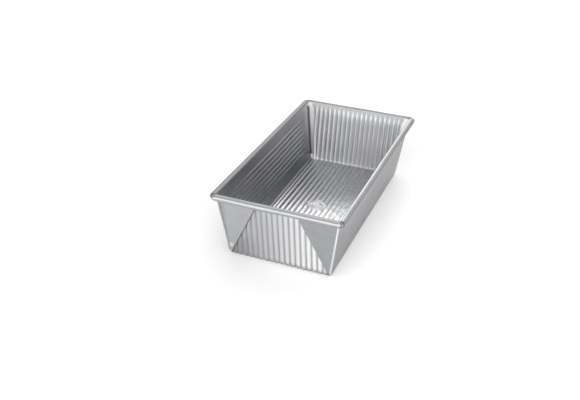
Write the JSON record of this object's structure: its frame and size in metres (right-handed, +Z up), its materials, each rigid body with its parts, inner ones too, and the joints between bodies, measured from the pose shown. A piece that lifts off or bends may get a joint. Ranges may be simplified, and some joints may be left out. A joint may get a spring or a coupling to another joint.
{
  "type": "loaf pan",
  "caption": "Rectangular fluted-sheet loaf pan with leaning walls, folded gusset corners on the end walls and a rim curled over a steel wire.",
  "frame": {"origin": "on the table, under the middle of the pan", "axes": "+X across the pan, +Y along its length towards the rear end wall, +Z up"},
  "size_m": [0.143, 0.27, 0.0735],
  "materials": {
    "aluminized_sheet": "satin",
    "rim_wire_steel": "satin"
  },
  "bodies": {
    "root": {"floor_panel": "aluminized_sheet", "front_end_wall": "aluminized_sheet", "rear_end_wall": "aluminized_sheet", "left_side_wall": "aluminized_sheet", "right_side_wall": "aluminized_sheet", "front_left_gusset": "aluminized_sheet", "front_right_gusset": "aluminized_sheet", "rear_left_gusset": "aluminized_sheet", "rear_right_gusset": "aluminized_sheet", "front_rim_curl": "aluminized_sheet", "rear_rim_curl": "aluminized_sheet", "left_rim_curl": "aluminized_sheet", "right_rim_curl": "aluminized_sheet", "rim_wire": "rim_wire_steel"}
  },
  "joints": []
}
